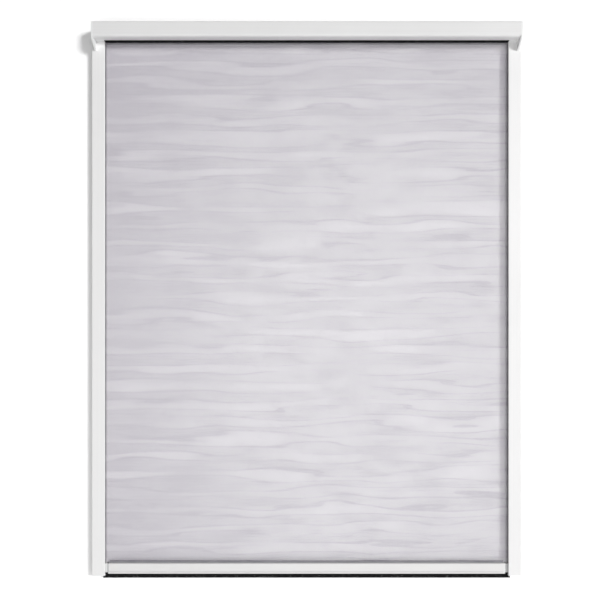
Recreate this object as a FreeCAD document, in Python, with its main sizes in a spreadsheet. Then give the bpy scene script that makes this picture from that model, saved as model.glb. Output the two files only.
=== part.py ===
import FreeCAD, Part
import os
import Sketcher

doc = FreeCAD.newDocument("RollerScreen")
sheet = doc.addObject("Spreadsheet::Sheet", "dims")
parts = []
closeness = 0.01

# The driving sizes in millimetres; each becomes a named cell
sizes = {
    # The whole screen
    "overall_width": 1000,
    "overall_height": 1288,
    "cassette_height": 36,
    "cassette_depth": 44,
    "guide_face": 30,
    "guide_depth": 17,
    "guide_lift": 8,
    "bar_height": 23,
    "bar_depth": 12,
    "bar_lift": 13,
    # Walls
    "cassette_wall": 1.4,
    "guide_wall": 1.3,
    "bar_wall": 1.2,
    "fine_wall": 1.2,
    "lip_thick": 0.9,
    # Clearances
    "seat_gap": 0.3,
    "slip_gap": 0.1,
    "running_gap": 0.05,
    "pile_gap": 0.2,
    # Pile strips: a base held behind lips, and the pile that stands on it
    "strip_base": 4.8,
    "strip_thick": 0.9,
    "pile_thick": 2.4,
    # End caps
    "cap_inset": 7,
    "cheek_thick": 4,
    "cheek_drop": 22.5,
    "cheek_bulge": 4.5,
    "cheek_round": 80,
    "tongue_edge": 0.8,
    "spigot_long": 9,
    "spigot_thick": 2.2,
    "boss_radius": 7.5,
    "boss_long": 4.5,
    "socket_deep": 5.5,
    "tongue_long": 30,
    # Cassette section
    "top_round": 4,
    "lip_round": 6.5,
    "back_round": 1.5,
    "mouth_reach": 15.9,
    "back_lip": 5,
    "port_inset": 2.6,
    "port_wall": 1.4,
    "port_slit": 1.2,
    # Cap screws
    "screw_radius": 1.45,
    "screw_head": 3.1,
    "screw_thick": 1.8,
    "screw_long": 16,
    "screw_play": 0.25,
    # Guide rails, measured inward from the outer face
    "chamber_end": 13.8,
    "guide_round": 1.2,
    "fixing_radius": 2.1,
    "access_half": 4.5,
    "fixing_clear": 22,
    "fixing_count": 4,
    # Rail feet
    "foot_plate": 1.5,
    "foot_plug": 28.5,
    "foot_stop": 3.6,
    # Roller and its mesh
    "tube_radius": 8.5,
    "tube_wall": 0.9,
    "roller_rise": 2,
    "end_float": 2,
    "wound_thick": 0.5,
    "spline_share": 0.135,
    "spline_play": 0.15,
    "keeper_slit": 1.4,
    "flange_thick": 1.5,
    "plug_long": 10,
    "mesh_tuck": 9,
    "mesh_thick": 0.4,
    "mesh_grip": 2.5,
    "band_wide": 15,
    "warp_count": 13,
    "weft_count": 11,
    # Spring and pins
    "shaft_square": 6,
    "shaft_over": 4,
    "drive_long": 12,
    "spring_wire": 0.9,
    "spring_pitch": 8,
    "spring_turns": 2.6,
    "spring_gap": 0.6,
    "spring_share": 0.36,
    "shaft_share": 0.24,
    "pin_share": 0.295,
    "pin_short": 1.4,
    # Pull bar
    "bar_gap": 8,
    "bar_lip": 2,
    "bar_lip_high": 3,
    "bar_round": 1.8,
    "lip_edge": 0.6,
    "clamp_wide": 4.2,
    "clamp_deep": 4.2,
    "clamp_mouth": 1.8,
    "clamp_bead": 3,
    "clamp_rise": 4,
    "brush_tuck": 6.5,
    # End gliders
    "glider_cap": 2,
    "head_clear": 0.7,
    "head_play": 1.7,
    "head_round": 1.5,
}

# Sizes and places that follow from them
following = {
    "half_width": "=overall_width / 2",
    "wall_y": "=cassette_depth / 2",
    "front_y": "=0 - cassette_depth / 2",
    "cassette_bottom": "=overall_height - cassette_height",
    "guide_front": "=wall_y - guide_depth",
    "mesh_y": "=wall_y - guide_depth / 2",
    # Grooves for pile strips
    "groove_wide": "=strip_base + pile_gap",
    "groove_deep": "=strip_thick + slip_gap",
    "groove_mouth": "=pile_thick + 2 * pile_gap",
    "lip_reach": "=(groove_wide - groove_mouth) / 2",
    "pile_reach": "=pile_thick / 2 + pile_gap",
    # Cassette and cap screws
    "cap_half": "=half_width - cap_inset",
    "housing_half": "=cap_half - cheek_thick",
    "mouth_y": "=mesh_y - mouth_reach",
    "port_hole": "=screw_radius + running_gap",
    "port_radius": "=port_hole + port_wall",
    "port_y": "=front_y + cassette_wall + port_inset",
    "port_low": "=cassette_bottom + cassette_wall + port_inset",
    "port_rise": "=cassette_height - 2 * cassette_wall - 2 * port_inset",
    "screw_hole": "=screw_radius + screw_play",
    "head_hole": "=screw_head + screw_play",
    # Guide rails and their fixing holes
    "channel_start": "=chamber_end + fine_wall",
    "groove_end": "=guide_face - fine_wall",
    "groove_start": "=groove_end - groove_wide",
    "channel_end": "=groove_start - fine_wall",
    "rail_low": "=guide_lift + foot_plate",
    "rail_long": "=cassette_bottom - rail_low",
    "fixing_low": "=foot_plug + fixing_clear",
    "fixing_span": "=rail_long - fixing_low - tongue_long - fixing_clear",
    # Roller
    "tube_half": "=housing_half - boss_long - flange_thick - end_float",
    "plug_end": "=tube_half - plug_long",
    "plug_radius": "=tube_radius - tube_wall - slip_gap",
    "wound_radius": "=tube_radius + wound_thick",
    "roller_y": "=mesh_y - mesh_thick / 2 - running_gap - wound_radius",
    "roller_z": "=cassette_bottom + cassette_height / 2 + roller_rise",
    "spline_radius": "=tube_radius * spline_share",
    "keeper_bore": "=spline_radius + spline_play",
    "keeper_radius": "=keeper_bore + tube_wall",
    "keeper_y": "=0 - (tube_radius - keeper_radius)",
    "spring_radius": "=tube_radius * spring_share",
    "shaft_radius": "=tube_radius * shaft_share",
    "pin_radius": "=tube_radius * pin_share",
    "spring_start": "=plug_end - spring_gap - spring_wire / 2",
    "drive_start": "=spring_start - spring_pitch * spring_turns - spring_wire / 2 - spring_gap",
    "shaft_end": "=drive_start - drive_long - shaft_over",
    "pin_start": "=housing_half - boss_long + socket_deep - slip_gap",
    # Mesh and pull bar
    "inner_half": "=half_width - guide_face",
    "mesh_half": "=inner_half + mesh_tuck",
    "brush_half": "=inner_half + brush_tuck",
    "bar_half": "=inner_half - bar_gap - glider_cap",
    "mesh_low": "=bar_lift + bar_height + clamp_rise - mesh_grip",
    "clamp_slot": "=mesh_thick + slip_gap",
    "tongue_reach": "=bar_gap + guide_face - channel_end + head_clear",
    "head_wide": "=channel_end - channel_start - 2 * head_clear",
    "head_depth": "=guide_depth - 2 * guide_wall - 2 * head_play",
}

for row, (name, content) in enumerate({**sizes, **following}.items(), start=1):
    sheet.set(f"A{row}", name)
    sheet.set(f"B{row}", str(content))
    sheet.setAlias(f"B{row}", name)
doc.recompute()


def value(expression):
    return float(sheet.evalExpression(expression))


def new_body(label, along="0", depth="0", up="0"):
    body = doc.addObject("PartDesign::Body", label)
    body.Label = label
    body.setExpression("Placement.Base.x", along)
    body.setExpression("Placement.Base.y", depth)
    body.setExpression("Placement.Base.z", up)
    parts.append(body)
    return body


def origin_feature(body, role):
    return next(item for item in body.Origin.OriginFeatures if item.Role == role)


# A sketch on one of the body's own planes; YZ looks along X, XY looks up
def new_sketch(body, plane, name, offset="0"):
    sketch = body.newObject("Sketcher::SketchObject", f"{body.Name}_{name}")
    sketch.AttachmentSupport = [(origin_feature(body, f"{plane}_Plane"), "")]
    sketch.MapMode = "FlatFace"
    sketch.setExpression("AttachmentOffset.Base.z", offset)
    return sketch


def hold(sketch, edge, point, across, up):
    for kind, expression in (("DistanceX", across), ("DistanceY", up)):
        rule = Sketcher.Constraint(kind, -1, 1, edge, point, value(expression))
        number = sketch.addConstraint(rule)
        sketch.setExpression(f"Constraints[{number}]", expression)


# A closed loop of straight edges, every corner held by two expressions
def outline(sketch, corners):
    first = sketch.GeometryCount
    points = [FreeCAD.Vector(value(across), value(up), 0) for across, up in corners]
    for here, there in zip(points, points[1:] + points[:1]):
        sketch.addGeometry(Part.LineSegment(here, there))
    for step, (across, up) in enumerate(corners):
        before = first + (step - 1) % len(corners)
        sketch.addConstraint(Sketcher.Constraint("Coincident", before, 2, first + step, 1))
        hold(sketch, first + step, 1, across, up)


def rectangle(sketch, left, right, low, high):
    outline(sketch, [(left, low), (right, low), (right, high), (left, high)])


def circle(sketch, across, up, radius):
    centre = FreeCAD.Vector(value(across), value(up), 0)
    edge = sketch.addGeometry(Part.Circle(centre, FreeCAD.Vector(0, 0, 1), value(radius)))
    hold(sketch, edge, 3, across, up)
    number = sketch.addConstraint(Sketcher.Constraint("Radius", edge, value(radius)))
    sketch.setExpression(f"Constraints[{number}]", radius)


def extrude(body, sketch, length, kind="Pad", both=False, back=False):
    feature = body.newObject(f"PartDesign::{kind}", f"{sketch.Name}_{kind}")
    feature.Profile = sketch
    feature.setExpression("Length", length)
    if both:
        feature.SideType = "Symmetric"
    feature.Reversed = back
    return feature


# Names of the edges whose two ends both lie at the given coordinates
def edges_at(shape, spot):
    names = []
    for number, edge in enumerate(shape.Edges, start=1):
        gaps = [
            abs(getattr(end.Point, axis) - value(where))
            for end in edge.Vertexes
            for axis, where in spot.items()
        ]
        if max(gaps) < closeness:
            names.append(f"Edge{number}")
    return names


def dress(body, kind, amount, spots):
    doc.recompute()
    base = body.Tip
    local = base.Shape
    names = []
    for spot in spots:
        names += edges_at(local, spot)
    feature = body.newObject(f"PartDesign::{kind}", f"{body.Name}_{kind}")
    feature.Base = (base, names)
    feature.setExpression("Radius" if kind == "Fillet" else "Size", amount)
    return feature


# Cassette housing: one C-shaped extrusion with screw ports and a brush groove at its mouth
housing = new_body("cassette_housing", up="dims.cassette_bottom")
shell = new_sketch(housing, "YZ", "shell")
inner_front = "dims.front_y + dims.cassette_wall"
inner_back = "dims.wall_y - dims.cassette_wall"
inner_low = "dims.cassette_wall"
inner_top = "dims.cassette_height - dims.cassette_wall"
lip_back = "dims.mouth_y - dims.lip_thick"
base_back = f"{lip_back} - dims.groove_deep"
plate_back = f"{base_back} - dims.fine_wall"
groove_top = "dims.cassette_wall + dims.groove_wide"
mouth_low = "dims.cassette_wall + dims.lip_reach"
mouth_top = f"{mouth_low} + dims.groove_mouth"
outline(shell, [
    ("dims.mouth_y", "0"),
    ("dims.front_y", "0"),
    ("dims.front_y", "dims.cassette_height"),
    ("dims.wall_y", "dims.cassette_height"),
    ("dims.wall_y", "0"),
    ("dims.wall_y - dims.back_lip", "0"),
    ("dims.wall_y - dims.back_lip", inner_low),
    (inner_back, inner_low),
    (inner_back, inner_top),
    (inner_front, inner_top),
    (inner_front, inner_low),
    (plate_back, inner_low),
    (plate_back, f"{groove_top} + dims.fine_wall"),
    ("dims.mouth_y", f"{groove_top} + dims.fine_wall"),
    ("dims.mouth_y", mouth_top),
    (lip_back, mouth_top),
    (lip_back, groove_top),
    (base_back, groove_top),
    (base_back, inner_low),
    (lip_back, inner_low),
    (lip_back, mouth_low),
    ("dims.mouth_y", mouth_low),
])
extrude(housing, shell, "2 * dims.housing_half", both=True)
dress(housing, "Fillet", "dims.lip_round - dims.cassette_wall", [{"y": inner_front, "z": inner_low}])
dress(housing, "Fillet", "dims.top_round - dims.cassette_wall", [{"y": inner_front, "z": inner_top}])
dress(housing, "Fillet", "dims.lip_round", [{"y": "dims.front_y", "z": "0"}])
dress(housing, "Fillet", "dims.top_round", [{"y": "dims.front_y", "z": "dims.cassette_height"}])
dress(housing, "Fillet", "dims.back_round", [{"y": "dims.wall_y", "z": "dims.cassette_height"}])
ports = new_sketch(housing, "YZ", "ports")
port_low = "dims.port_low - dims.cassette_bottom"
port_high = f"{port_low} + dims.port_rise"
circle(ports, "dims.port_y", port_low, "dims.port_radius")
circle(ports, "dims.port_y", port_high, "dims.port_radius")
extrude(housing, ports, "2 * dims.housing_half", both=True)
bores = new_sketch(housing, "YZ", "bores")
circle(bores, "dims.port_y", port_low, "dims.port_hole")
circle(bores, "dims.port_y", port_high, "dims.port_hole")
extrude(housing, bores, "3 * dims.housing_half", kind="Pocket", both=True)
slits = new_sketch(housing, "YZ", "slits")
slit_end = "dims.port_y + dims.port_radius + dims.port_wall"
half_slit = "dims.port_slit / 2"
rectangle(slits, "dims.port_y", slit_end, f"{port_low} - {half_slit}", f"{port_low} + {half_slit}")
rectangle(slits, "dims.port_y", slit_end, f"{port_high} - {half_slit}", f"{port_high} + {half_slit}")
extrude(housing, slits, "3 * dims.housing_half", kind="Pocket", both=True)


# End cap: a cheek with a tapering foot, ribs inside the cassette, a roller socket, a tongue for the rail
# and a shutter that closes the cassette's mouth over the rail
def end_cap(label, side, square):
    def out(expression):
        return f"{side} * ({expression})"

    backward = side < 0
    cap = new_body(label, along=out("dims.housing_half"))
    cheek = new_sketch(cap, "YZ", "cheek")
    bulge_y = "(dims.front_y + dims.guide_front) / 2 - dims.cheek_bulge"
    bulge_z = "dims.cassette_bottom - dims.cheek_drop / 2"
    outline(cheek, [
        ("dims.front_y", "dims.cassette_bottom"),
        (bulge_y, bulge_z),
        ("dims.guide_front", "dims.cassette_bottom - dims.cheek_drop"),
        ("dims.guide_front", "dims.cassette_bottom"),
        ("dims.wall_y", "dims.cassette_bottom"),
        ("dims.wall_y", "dims.overall_height"),
        ("dims.front_y", "dims.overall_height"),
    ])
    extrude(cap, cheek, "dims.cheek_thick", back=backward)
    dress(cap, "Fillet", "dims.cheek_round", [{"y": bulge_y, "z": bulge_z}])
    dress(cap, "Fillet", "dims.top_round", [{"y": "dims.front_y", "z": "dims.overall_height"}])
    dress(cap, "Fillet", "dims.back_round", [{"y": "dims.wall_y", "z": "dims.overall_height"}])

    tongue = new_sketch(cap, "XY", "tongue", offset="dims.cassette_bottom")
    outer_end = "dims.half_width - dims.guide_wall - dims.seat_gap - dims.housing_half"
    inner_end = "dims.half_width - dims.chamber_end + dims.seat_gap - dims.housing_half"
    front_end = "dims.guide_front + dims.guide_wall + dims.seat_gap"
    back_end = "dims.wall_y - dims.guide_wall - dims.seat_gap"
    rectangle(tongue, out(inner_end), out(outer_end), front_end, back_end)
    extrude(cap, tongue, "dims.tongue_long", back=True)
    dress(cap, "Chamfer", "dims.tongue_edge", [{"z": "dims.cassette_bottom - dims.tongue_long"}])

    ribs = new_sketch(cap, "YZ", "ribs")
    shut = "(dims.cassette_wall + dims.seat_gap)"
    clear = "dims.port_radius + dims.seat_gap"
    front_rib = f"dims.front_y + {shut}"
    back_rib = f"dims.wall_y - {shut}"
    top_rib = f"dims.overall_height - {shut}"
    low_rib = f"dims.port_low + {clear}"
    high_rib = f"dims.port_low + dims.port_rise - ({clear})"
    rectangle(ribs, front_rib, f"{front_rib} + dims.spigot_thick", low_rib, high_rib)
    rectangle(ribs, f"{back_rib} - dims.spigot_thick", back_rib, low_rib, high_rib)
    rectangle(
        ribs,
        f"dims.port_y + {clear}", "dims.wall_y - dims.back_lip",
        f"{top_rib} - dims.spigot_thick", top_rib,
    )
    extrude(cap, ribs, "dims.spigot_long", back=not backward)

    shutter = new_sketch(cap, "XY", "shutter", offset="dims.cassette_bottom + dims.slip_gap")
    shutter_end = "dims.inner_half + dims.seat_gap - dims.housing_half"
    rectangle(
        shutter,
        out("dims.fine_wall"), out(shutter_end),
        "dims.mouth_y + dims.seat_gap", "dims.mesh_y - dims.pile_reach",
    )
    extrude(cap, shutter, "dims.fine_wall")

    boss = new_sketch(cap, "YZ", "boss")
    circle(boss, "dims.roller_y", "dims.roller_z", "dims.boss_radius")
    extrude(cap, boss, "dims.boss_long", back=not backward)

    socket = new_sketch(cap, "YZ", "socket", offset=out("0 - dims.boss_long"))
    if square:
        grip = "(dims.shaft_square + dims.slip_gap) / 2"
        rectangle(
            socket,
            f"dims.roller_y - {grip}", f"dims.roller_y + {grip}",
            f"dims.roller_z - {grip}", f"dims.roller_z + {grip}",
        )
    else:
        circle(socket, "dims.roller_y", "dims.roller_z", "dims.pin_radius + dims.running_gap")
    extrude(cap, socket, "dims.socket_deep", kind="Pocket", back=not backward)

    holes = new_sketch(cap, "YZ", "holes")
    circle(holes, "dims.port_y", "dims.port_low", "dims.screw_hole")
    circle(holes, "dims.port_y", "dims.port_low + dims.port_rise", "dims.screw_hole")
    extrude(cap, holes, "4 * dims.cheek_thick", kind="Pocket", both=True)
    sinks = new_sketch(cap, "YZ", "sinks", offset=out("dims.cheek_thick"))
    circle(sinks, "dims.port_y", "dims.port_low", "dims.head_hole")
    circle(sinks, "dims.port_y", "dims.port_low + dims.port_rise", "dims.head_hole")
    extrude(cap, sinks, "dims.screw_thick + dims.slip_gap", kind="Pocket", back=backward)


end_cap("left_end_cap", -1, True)
end_cap("right_end_cap", 1, False)

# Four screws that hold the end caps, their heads sunk in the cheeks
screws = new_body("cap_screws", along="0 - dims.cap_half", depth="dims.port_y", up="dims.port_low")
screws.AllowCompound = True
turning = new_sketch(screws, "XZ", "turning")
outline(turning, [
    ("dims.slip_gap", "0"),
    ("dims.slip_gap", "dims.screw_head"),
    ("dims.slip_gap + dims.screw_thick", "dims.screw_head"),
    ("dims.slip_gap + dims.screw_thick", "dims.screw_radius"),
    ("dims.screw_long", "dims.screw_radius"),
    ("dims.screw_long", "0"),
])
stem = screws.newObject("PartDesign::Revolution", "cap_screw_stem")
stem.Profile = turning
stem.ReferenceAxis = (origin_feature(screws, "X_Axis"), [""])
pair = screws.newObject("PartDesign::LinearPattern", "cap_screw_pair")
pair.Originals = [stem]
pair.Direction = (origin_feature(screws, "Z_Axis"), [""])
pair.setExpression("Length", "dims.port_rise")
pair.Occurrences = 2
screws.Tip = pair
others = doc.addObject("Part::Mirroring", "right_cap_screws")
others.Source = screws
others.Normal = FreeCAD.Vector(1, 0, 0)
all_screws = doc.addObject("Part::Compound", "all_cap_screws")
all_screws.Links = [screws, others]
screws.Label = "left_cap_screws"
all_screws.Label = "cap_screws"
parts.remove(screws)
parts.append(all_screws)


# Guide rail: a chamber for the cap's tongue and a channel with two brush grooves beside its mouth
def guide_rail(label, side):
    def inward(expression):
        return f"{-side} * ({expression})"

    rail = new_body(label, along=f"{side} * dims.half_width", up="dims.rail_low")
    section = new_sketch(rail, "XY", "section")
    front_in = "dims.guide_front + dims.guide_wall"
    back_in = "dims.wall_y - dims.guide_wall"
    front_base = f"{front_in} + dims.groove_deep"
    back_base = f"{back_in} - dims.groove_deep"
    front_lip = f"{front_base} + dims.lip_thick"
    back_lip = f"{back_base} - dims.lip_thick"
    mouth_near = "dims.groove_end - dims.lip_reach"
    mouth_far = "dims.groove_start + dims.lip_reach"
    corners = [
        ("0", "dims.guide_front"),
        ("0", "dims.wall_y"),
        ("dims.guide_face", "dims.wall_y"),
        ("dims.guide_face", back_lip),
        (mouth_near, back_lip),
        (mouth_near, back_base),
        ("dims.groove_end", back_base),
        ("dims.groove_end", back_in),
        ("dims.groove_start", back_in),
        ("dims.groove_start", back_base),
        (mouth_far, back_base),
        (mouth_far, back_lip),
        ("dims.channel_end", back_lip),
        ("dims.channel_end", back_in),
        ("dims.channel_start", back_in),
        ("dims.channel_start", front_in),
        ("dims.channel_end", front_in),
        ("dims.channel_end", front_lip),
        (mouth_far, front_lip),
        (mouth_far, front_base),
        ("dims.groove_start", front_base),
        ("dims.groove_start", front_in),
        ("dims.groove_end", front_in),
        ("dims.groove_end", front_base),
        (mouth_near, front_base),
        (mouth_near, front_lip),
        ("dims.guide_face", front_lip),
        ("dims.guide_face", "dims.guide_front"),
    ]
    outline(section, [(inward(across), up) for across, up in corners])
    rectangle(section, inward("dims.guide_wall"), inward("dims.chamber_end"), front_in, back_in)
    extrude(rail, section, "dims.rail_long")
    dress(rail, "Fillet", "dims.guide_round", [
        {"x": across, "y": up}
        for across in ("0", inward("dims.guide_face"))
        for up in ("dims.guide_front", "dims.wall_y")
    ])
    # Wall screws pass the outer wall; the windows in the web let their heads through
    fixing = new_sketch(rail, "YZ", "fixing", offset=inward("0 - dims.guide_wall"))
    circle(fixing, "dims.mesh_y", "dims.fixing_low", "dims.fixing_radius")
    hole = extrude(rail, fixing, "3 * dims.guide_wall", kind="Pocket", back=side < 0)
    access = new_sketch(rail, "YZ", "access", offset=inward("dims.chamber_end - dims.fine_wall"))
    rectangle(
        access,
        "dims.mesh_y - dims.access_half", "dims.mesh_y + dims.access_half",
        "dims.fixing_low - dims.access_half", "dims.fixing_low + dims.access_half",
    )
    window = extrude(rail, access, "3 * dims.fine_wall", kind="Pocket", back=side < 0)
    row = rail.newObject("PartDesign::LinearPattern", f"{label}_row")
    row.Originals = [hole, window]
    row.Direction = (origin_feature(rail, "Z_Axis"), [""])
    row.setExpression("Length", "dims.fixing_span")
    row.setExpression("Occurrences", "dims.fixing_count")
    rail.Tip = row

    foot = new_body(
        label.replace("guide_rail", "rail_foot"),
        along=f"{side} * dims.half_width",
        up="dims.guide_lift",
    )
    plate = new_sketch(foot, "XY", "plate")
    rectangle(plate, "0", inward("dims.guide_face"), "dims.guide_front", "dims.wall_y")
    extrude(foot, plate, "dims.foot_plate")
    dress(foot, "Fillet", "dims.guide_round", [
        {"x": across, "y": up}
        for across in ("0", inward("dims.guide_face"))
        for up in ("dims.guide_front", "dims.wall_y")
    ])
    fit_front = f"{front_in} + dims.seat_gap"
    fit_back = f"{back_in} - dims.seat_gap"
    plug = new_sketch(foot, "XY", "plug", offset="dims.foot_plate")
    plug_out = "dims.guide_wall + dims.seat_gap"
    plug_in = "dims.chamber_end - dims.seat_gap"
    rectangle(plug, inward(plug_out), inward(plug_in), fit_front, fit_back)
    rectangle(
        plug,
        inward(f"{plug_out} + dims.fine_wall"), inward(f"{plug_in} - dims.fine_wall"),
        f"{fit_front} + dims.fine_wall", f"{fit_back} - dims.fine_wall",
    )
    extrude(foot, plug, "dims.foot_plug")
    stop = new_sketch(foot, "XY", "stop", offset="dims.foot_plate")
    stop_start = inward("dims.channel_start + dims.seat_gap")
    rectangle(stop, stop_start, inward("dims.channel_end - dims.seat_gap"), fit_front, fit_back)
    extrude(foot, stop, "dims.foot_stop")
    notch = new_sketch(foot, "XY", "notch")
    notch_half = "(dims.pile_reach + dims.seat_gap)"
    rectangle(
        notch,
        inward("dims.guide_face - dims.brush_tuck - dims.seat_gap"),
        inward("dims.guide_face + dims.fine_wall"),
        f"dims.mesh_y - {notch_half}", f"dims.mesh_y + {notch_half}",
    )
    extrude(foot, notch, "4 * dims.foot_stop", kind="Pocket", both=True)

    # Pile strips in the two grooves, their tips clear of the gliders' tongue
    near = "dims.groove_end - dims.pile_gap / 2"
    far = "dims.groove_start + dims.pile_gap / 2"
    middle = "(dims.groove_start + dims.groove_end) / 2"
    for place, turn, wall in (("front", 1, front_in), ("back", -1, back_in)):
        brush = new_body(
            label.replace("guide_rail", f"{place}_brush"),
            along=f"{side} * dims.half_width",
            up="dims.rail_low + dims.seat_gap",
        )
        pile = new_sketch(brush, "XY", "pile")
        under = f"{wall} + {turn} * dims.slip_gap / 2"
        over = f"{under} + {turn} * dims.strip_thick"
        tip = f"dims.mesh_y - {turn} * (dims.pile_reach + dims.pile_gap / 2)"
        left = f"{middle} - dims.pile_thick / 2"
        right = f"{middle} + dims.pile_thick / 2"
        outline(pile, [(inward(across), up) for across, up in (
            (far, under), (near, under), (near, over), (right, over),
            (right, tip), (left, tip), (left, over), (far, over),
        )])
        extrude(brush, pile, "dims.rail_long - 2 * dims.seat_gap")


guide_rail("left_guide_rail", -1)
guide_rail("right_guide_rail", 1)

# Pile strip across the cassette's mouth
slot_brush = new_body("slot_brush", up="dims.cassette_bottom")
wiper = new_sketch(slot_brush, "YZ", "wiper")
wiper_low = "dims.cassette_wall + dims.pile_gap / 2"
wiper_top = f"{wiper_low} + dims.strip_base"
pile_low = f"{mouth_low} + dims.pile_gap"
pile_top = f"{pile_low} + dims.pile_thick"
wiper_back = f"{base_back} + dims.slip_gap / 2"
wiper_face = f"{wiper_back} + dims.strip_thick"
pile_end = "dims.mesh_y - dims.pile_reach"
outline(wiper, [
    (wiper_back, wiper_low), (wiper_face, wiper_low), (wiper_face, pile_low), (pile_end, pile_low),
    (pile_end, pile_top), (wiper_face, pile_top), (wiper_face, wiper_top), (wiper_back, wiper_top),
])
extrude(slot_brush, wiper, "2 * (dims.housing_half - dims.spigot_long - dims.seat_gap)", both=True)


# A piece of the roller, drawn about its own axis and placed on the roller's
def roller_body(label, along="0"):
    return new_body(label, along=along, depth="dims.roller_y", up="dims.roller_z")


# Roller tube with a keeper groove for the spline
tube = roller_body("roller_tube")
ring = new_sketch(tube, "YZ", "ring")
circle(ring, "0", "0", "dims.tube_radius")
circle(ring, "0", "0", "dims.tube_radius - dims.tube_wall")
extrude(tube, ring, "2 * dims.tube_half", both=True)
keeper = new_sketch(tube, "YZ", "keeper")
circle(keeper, "dims.keeper_y", "0", "dims.keeper_radius")
extrude(tube, keeper, "2 * dims.tube_half", both=True)
keeper_bore = new_sketch(tube, "YZ", "keeper_bore")
circle(keeper_bore, "dims.keeper_y", "0", "dims.keeper_bore")
extrude(tube, keeper_bore, "3 * dims.tube_half", kind="Pocket", both=True)
keeper_slit = new_sketch(tube, "YZ", "keeper_slit")
rectangle(
    keeper_slit, "0 - dims.tube_radius - dims.tube_wall", "dims.keeper_y",
    "0 - dims.keeper_slit / 2", "dims.keeper_slit / 2",
)
extrude(tube, keeper_slit, "3 * dims.tube_half", kind="Pocket", both=True)

spline = roller_body("tube_spline")
cord = new_sketch(spline, "YZ", "cord")
circle(cord, "dims.keeper_y", "0", "dims.spline_radius")
extrude(spline, cord, "2 * dims.mesh_half", both=True)

wound = roller_body("wound_mesh")
turns = new_sketch(wound, "YZ", "turns")
circle(turns, "0", "0", "dims.wound_radius")
circle(turns, "0", "0", "dims.tube_radius + dims.slip_gap")
extrude(wound, turns, "2 * dims.mesh_half", both=True)


# A plug keyed to the tube's keeper, with a round bore; some have a flange outside the tube
def tube_plug(label, side, start, length, bore, flange):
    plug = roller_body(label, along=f"{side} * ({start})")
    core = new_sketch(plug, "YZ", "core")
    circle(core, "0", "0", "dims.plug_radius")
    extrude(plug, core, length, back=side > 0)
    keyway = new_sketch(plug, "YZ", "keyway")
    key_half = "(dims.keeper_radius + dims.seat_gap)"
    rectangle(
        keyway, "0 - dims.tube_radius", f"dims.keeper_y + {key_half}",
        f"0 - {key_half}", key_half,
    )
    extrude(plug, keyway, f"3 * ({length})", kind="Pocket", both=True)
    if flange:
        collar = new_sketch(plug, "YZ", "collar")
        circle(collar, "0", "0", "dims.tube_radius")
        extrude(plug, collar, "dims.flange_thick", back=side < 0)
    hole = new_sketch(plug, "YZ", "hole")
    circle(hole, "0", "0", f"{bore} + dims.running_gap")
    extrude(plug, hole, f"3 * ({length})", kind="Pocket", both=True)


tube_plug("bearing_plug", -1, "dims.tube_half", "dims.plug_long", "dims.shaft_radius", True)
tube_plug("drive_plug", -1, "dims.drive_start", "dims.drive_long", "dims.shaft_radius", False)
tube_plug("idle_plug", 1, "dims.tube_half", "dims.plug_long", "dims.pin_radius", True)

# Spring shaft with a square end that the left cap keeps from turning
shaft = roller_body("spring_shaft", along="0 - dims.pin_start")
rod = new_sketch(shaft, "YZ", "rod")
circle(rod, "0", "0", "dims.shaft_radius")
extrude(shaft, rod, "dims.pin_start - dims.shaft_end")
key = new_sketch(shaft, "YZ", "key")
half_key = "(dims.shaft_square - dims.slip_gap) / 2"
rectangle(key, f"0 - {half_key}", half_key, f"0 - {half_key}", half_key)
extrude(shaft, key, "dims.socket_deep - dims.slip_gap")

# Torsion spring around the shaft, its wire of square section
spring = roller_body("torsion_spring", along="0 - dims.spring_start")
wire = new_sketch(spring, "XZ", "wire")
half_wire = "dims.spring_wire / 2"
rectangle(
    wire, f"0 - {half_wire}", half_wire,
    f"dims.spring_radius - {half_wire}", f"dims.spring_radius + {half_wire}",
)
coil = spring.newObject("PartDesign::AdditiveHelix", "torsion_spring_coil")
coil.Profile = wire
coil.ReferenceAxis = (origin_feature(spring, "X_Axis"), [""])
coil.Mode = "pitch-turns-angle"
coil.setExpression("Pitch", "dims.spring_pitch")
coil.setExpression("Turns", "dims.spring_turns")

# Idle pin pressed in the right cap
pin = roller_body("idle_pin", along="dims.pin_start")
peg = new_sketch(pin, "YZ", "peg")
circle(peg, "0", "0", "dims.pin_radius")
extrude(pin, peg, "dims.pin_start - dims.plug_end - dims.pin_short", back=True)

# The hanging mesh as a plain open grid: upright bands in front, level bands joined to their backs
hanging = new_body("insect_mesh", depth="dims.mesh_y", up="dims.mesh_low")
mesh_long = "dims.roller_z - dims.mesh_low"
half_mesh = "dims.mesh_thick / 2"
warp = new_sketch(hanging, "XY", "warp")
rectangle(warp, "0 - dims.mesh_half", "dims.band_wide - dims.mesh_half", f"0 - {half_mesh}", "0")
upright = extrude(hanging, warp, mesh_long)
weft = new_sketch(hanging, "YZ", "weft")
rectangle(weft, "0", half_mesh, "0", "dims.band_wide")
level = extrude(hanging, weft, "2 * dims.mesh_half", both=True)
for name, band, role, count, span in (
    ("warp_row", upright, "X_Axis", "dims.warp_count", "2 * dims.mesh_half - dims.band_wide"),
    ("weft_row", level, "Z_Axis", "dims.weft_count", f"{mesh_long} - dims.band_wide"),
):
    bands = hanging.newObject("PartDesign::LinearPattern", name)
    bands.Originals = [band]
    bands.Direction = (origin_feature(hanging, role), [""])
    bands.setExpression("Length", span)
    bands.setExpression("Occurrences", count)
    hanging.Tip = bands

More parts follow.
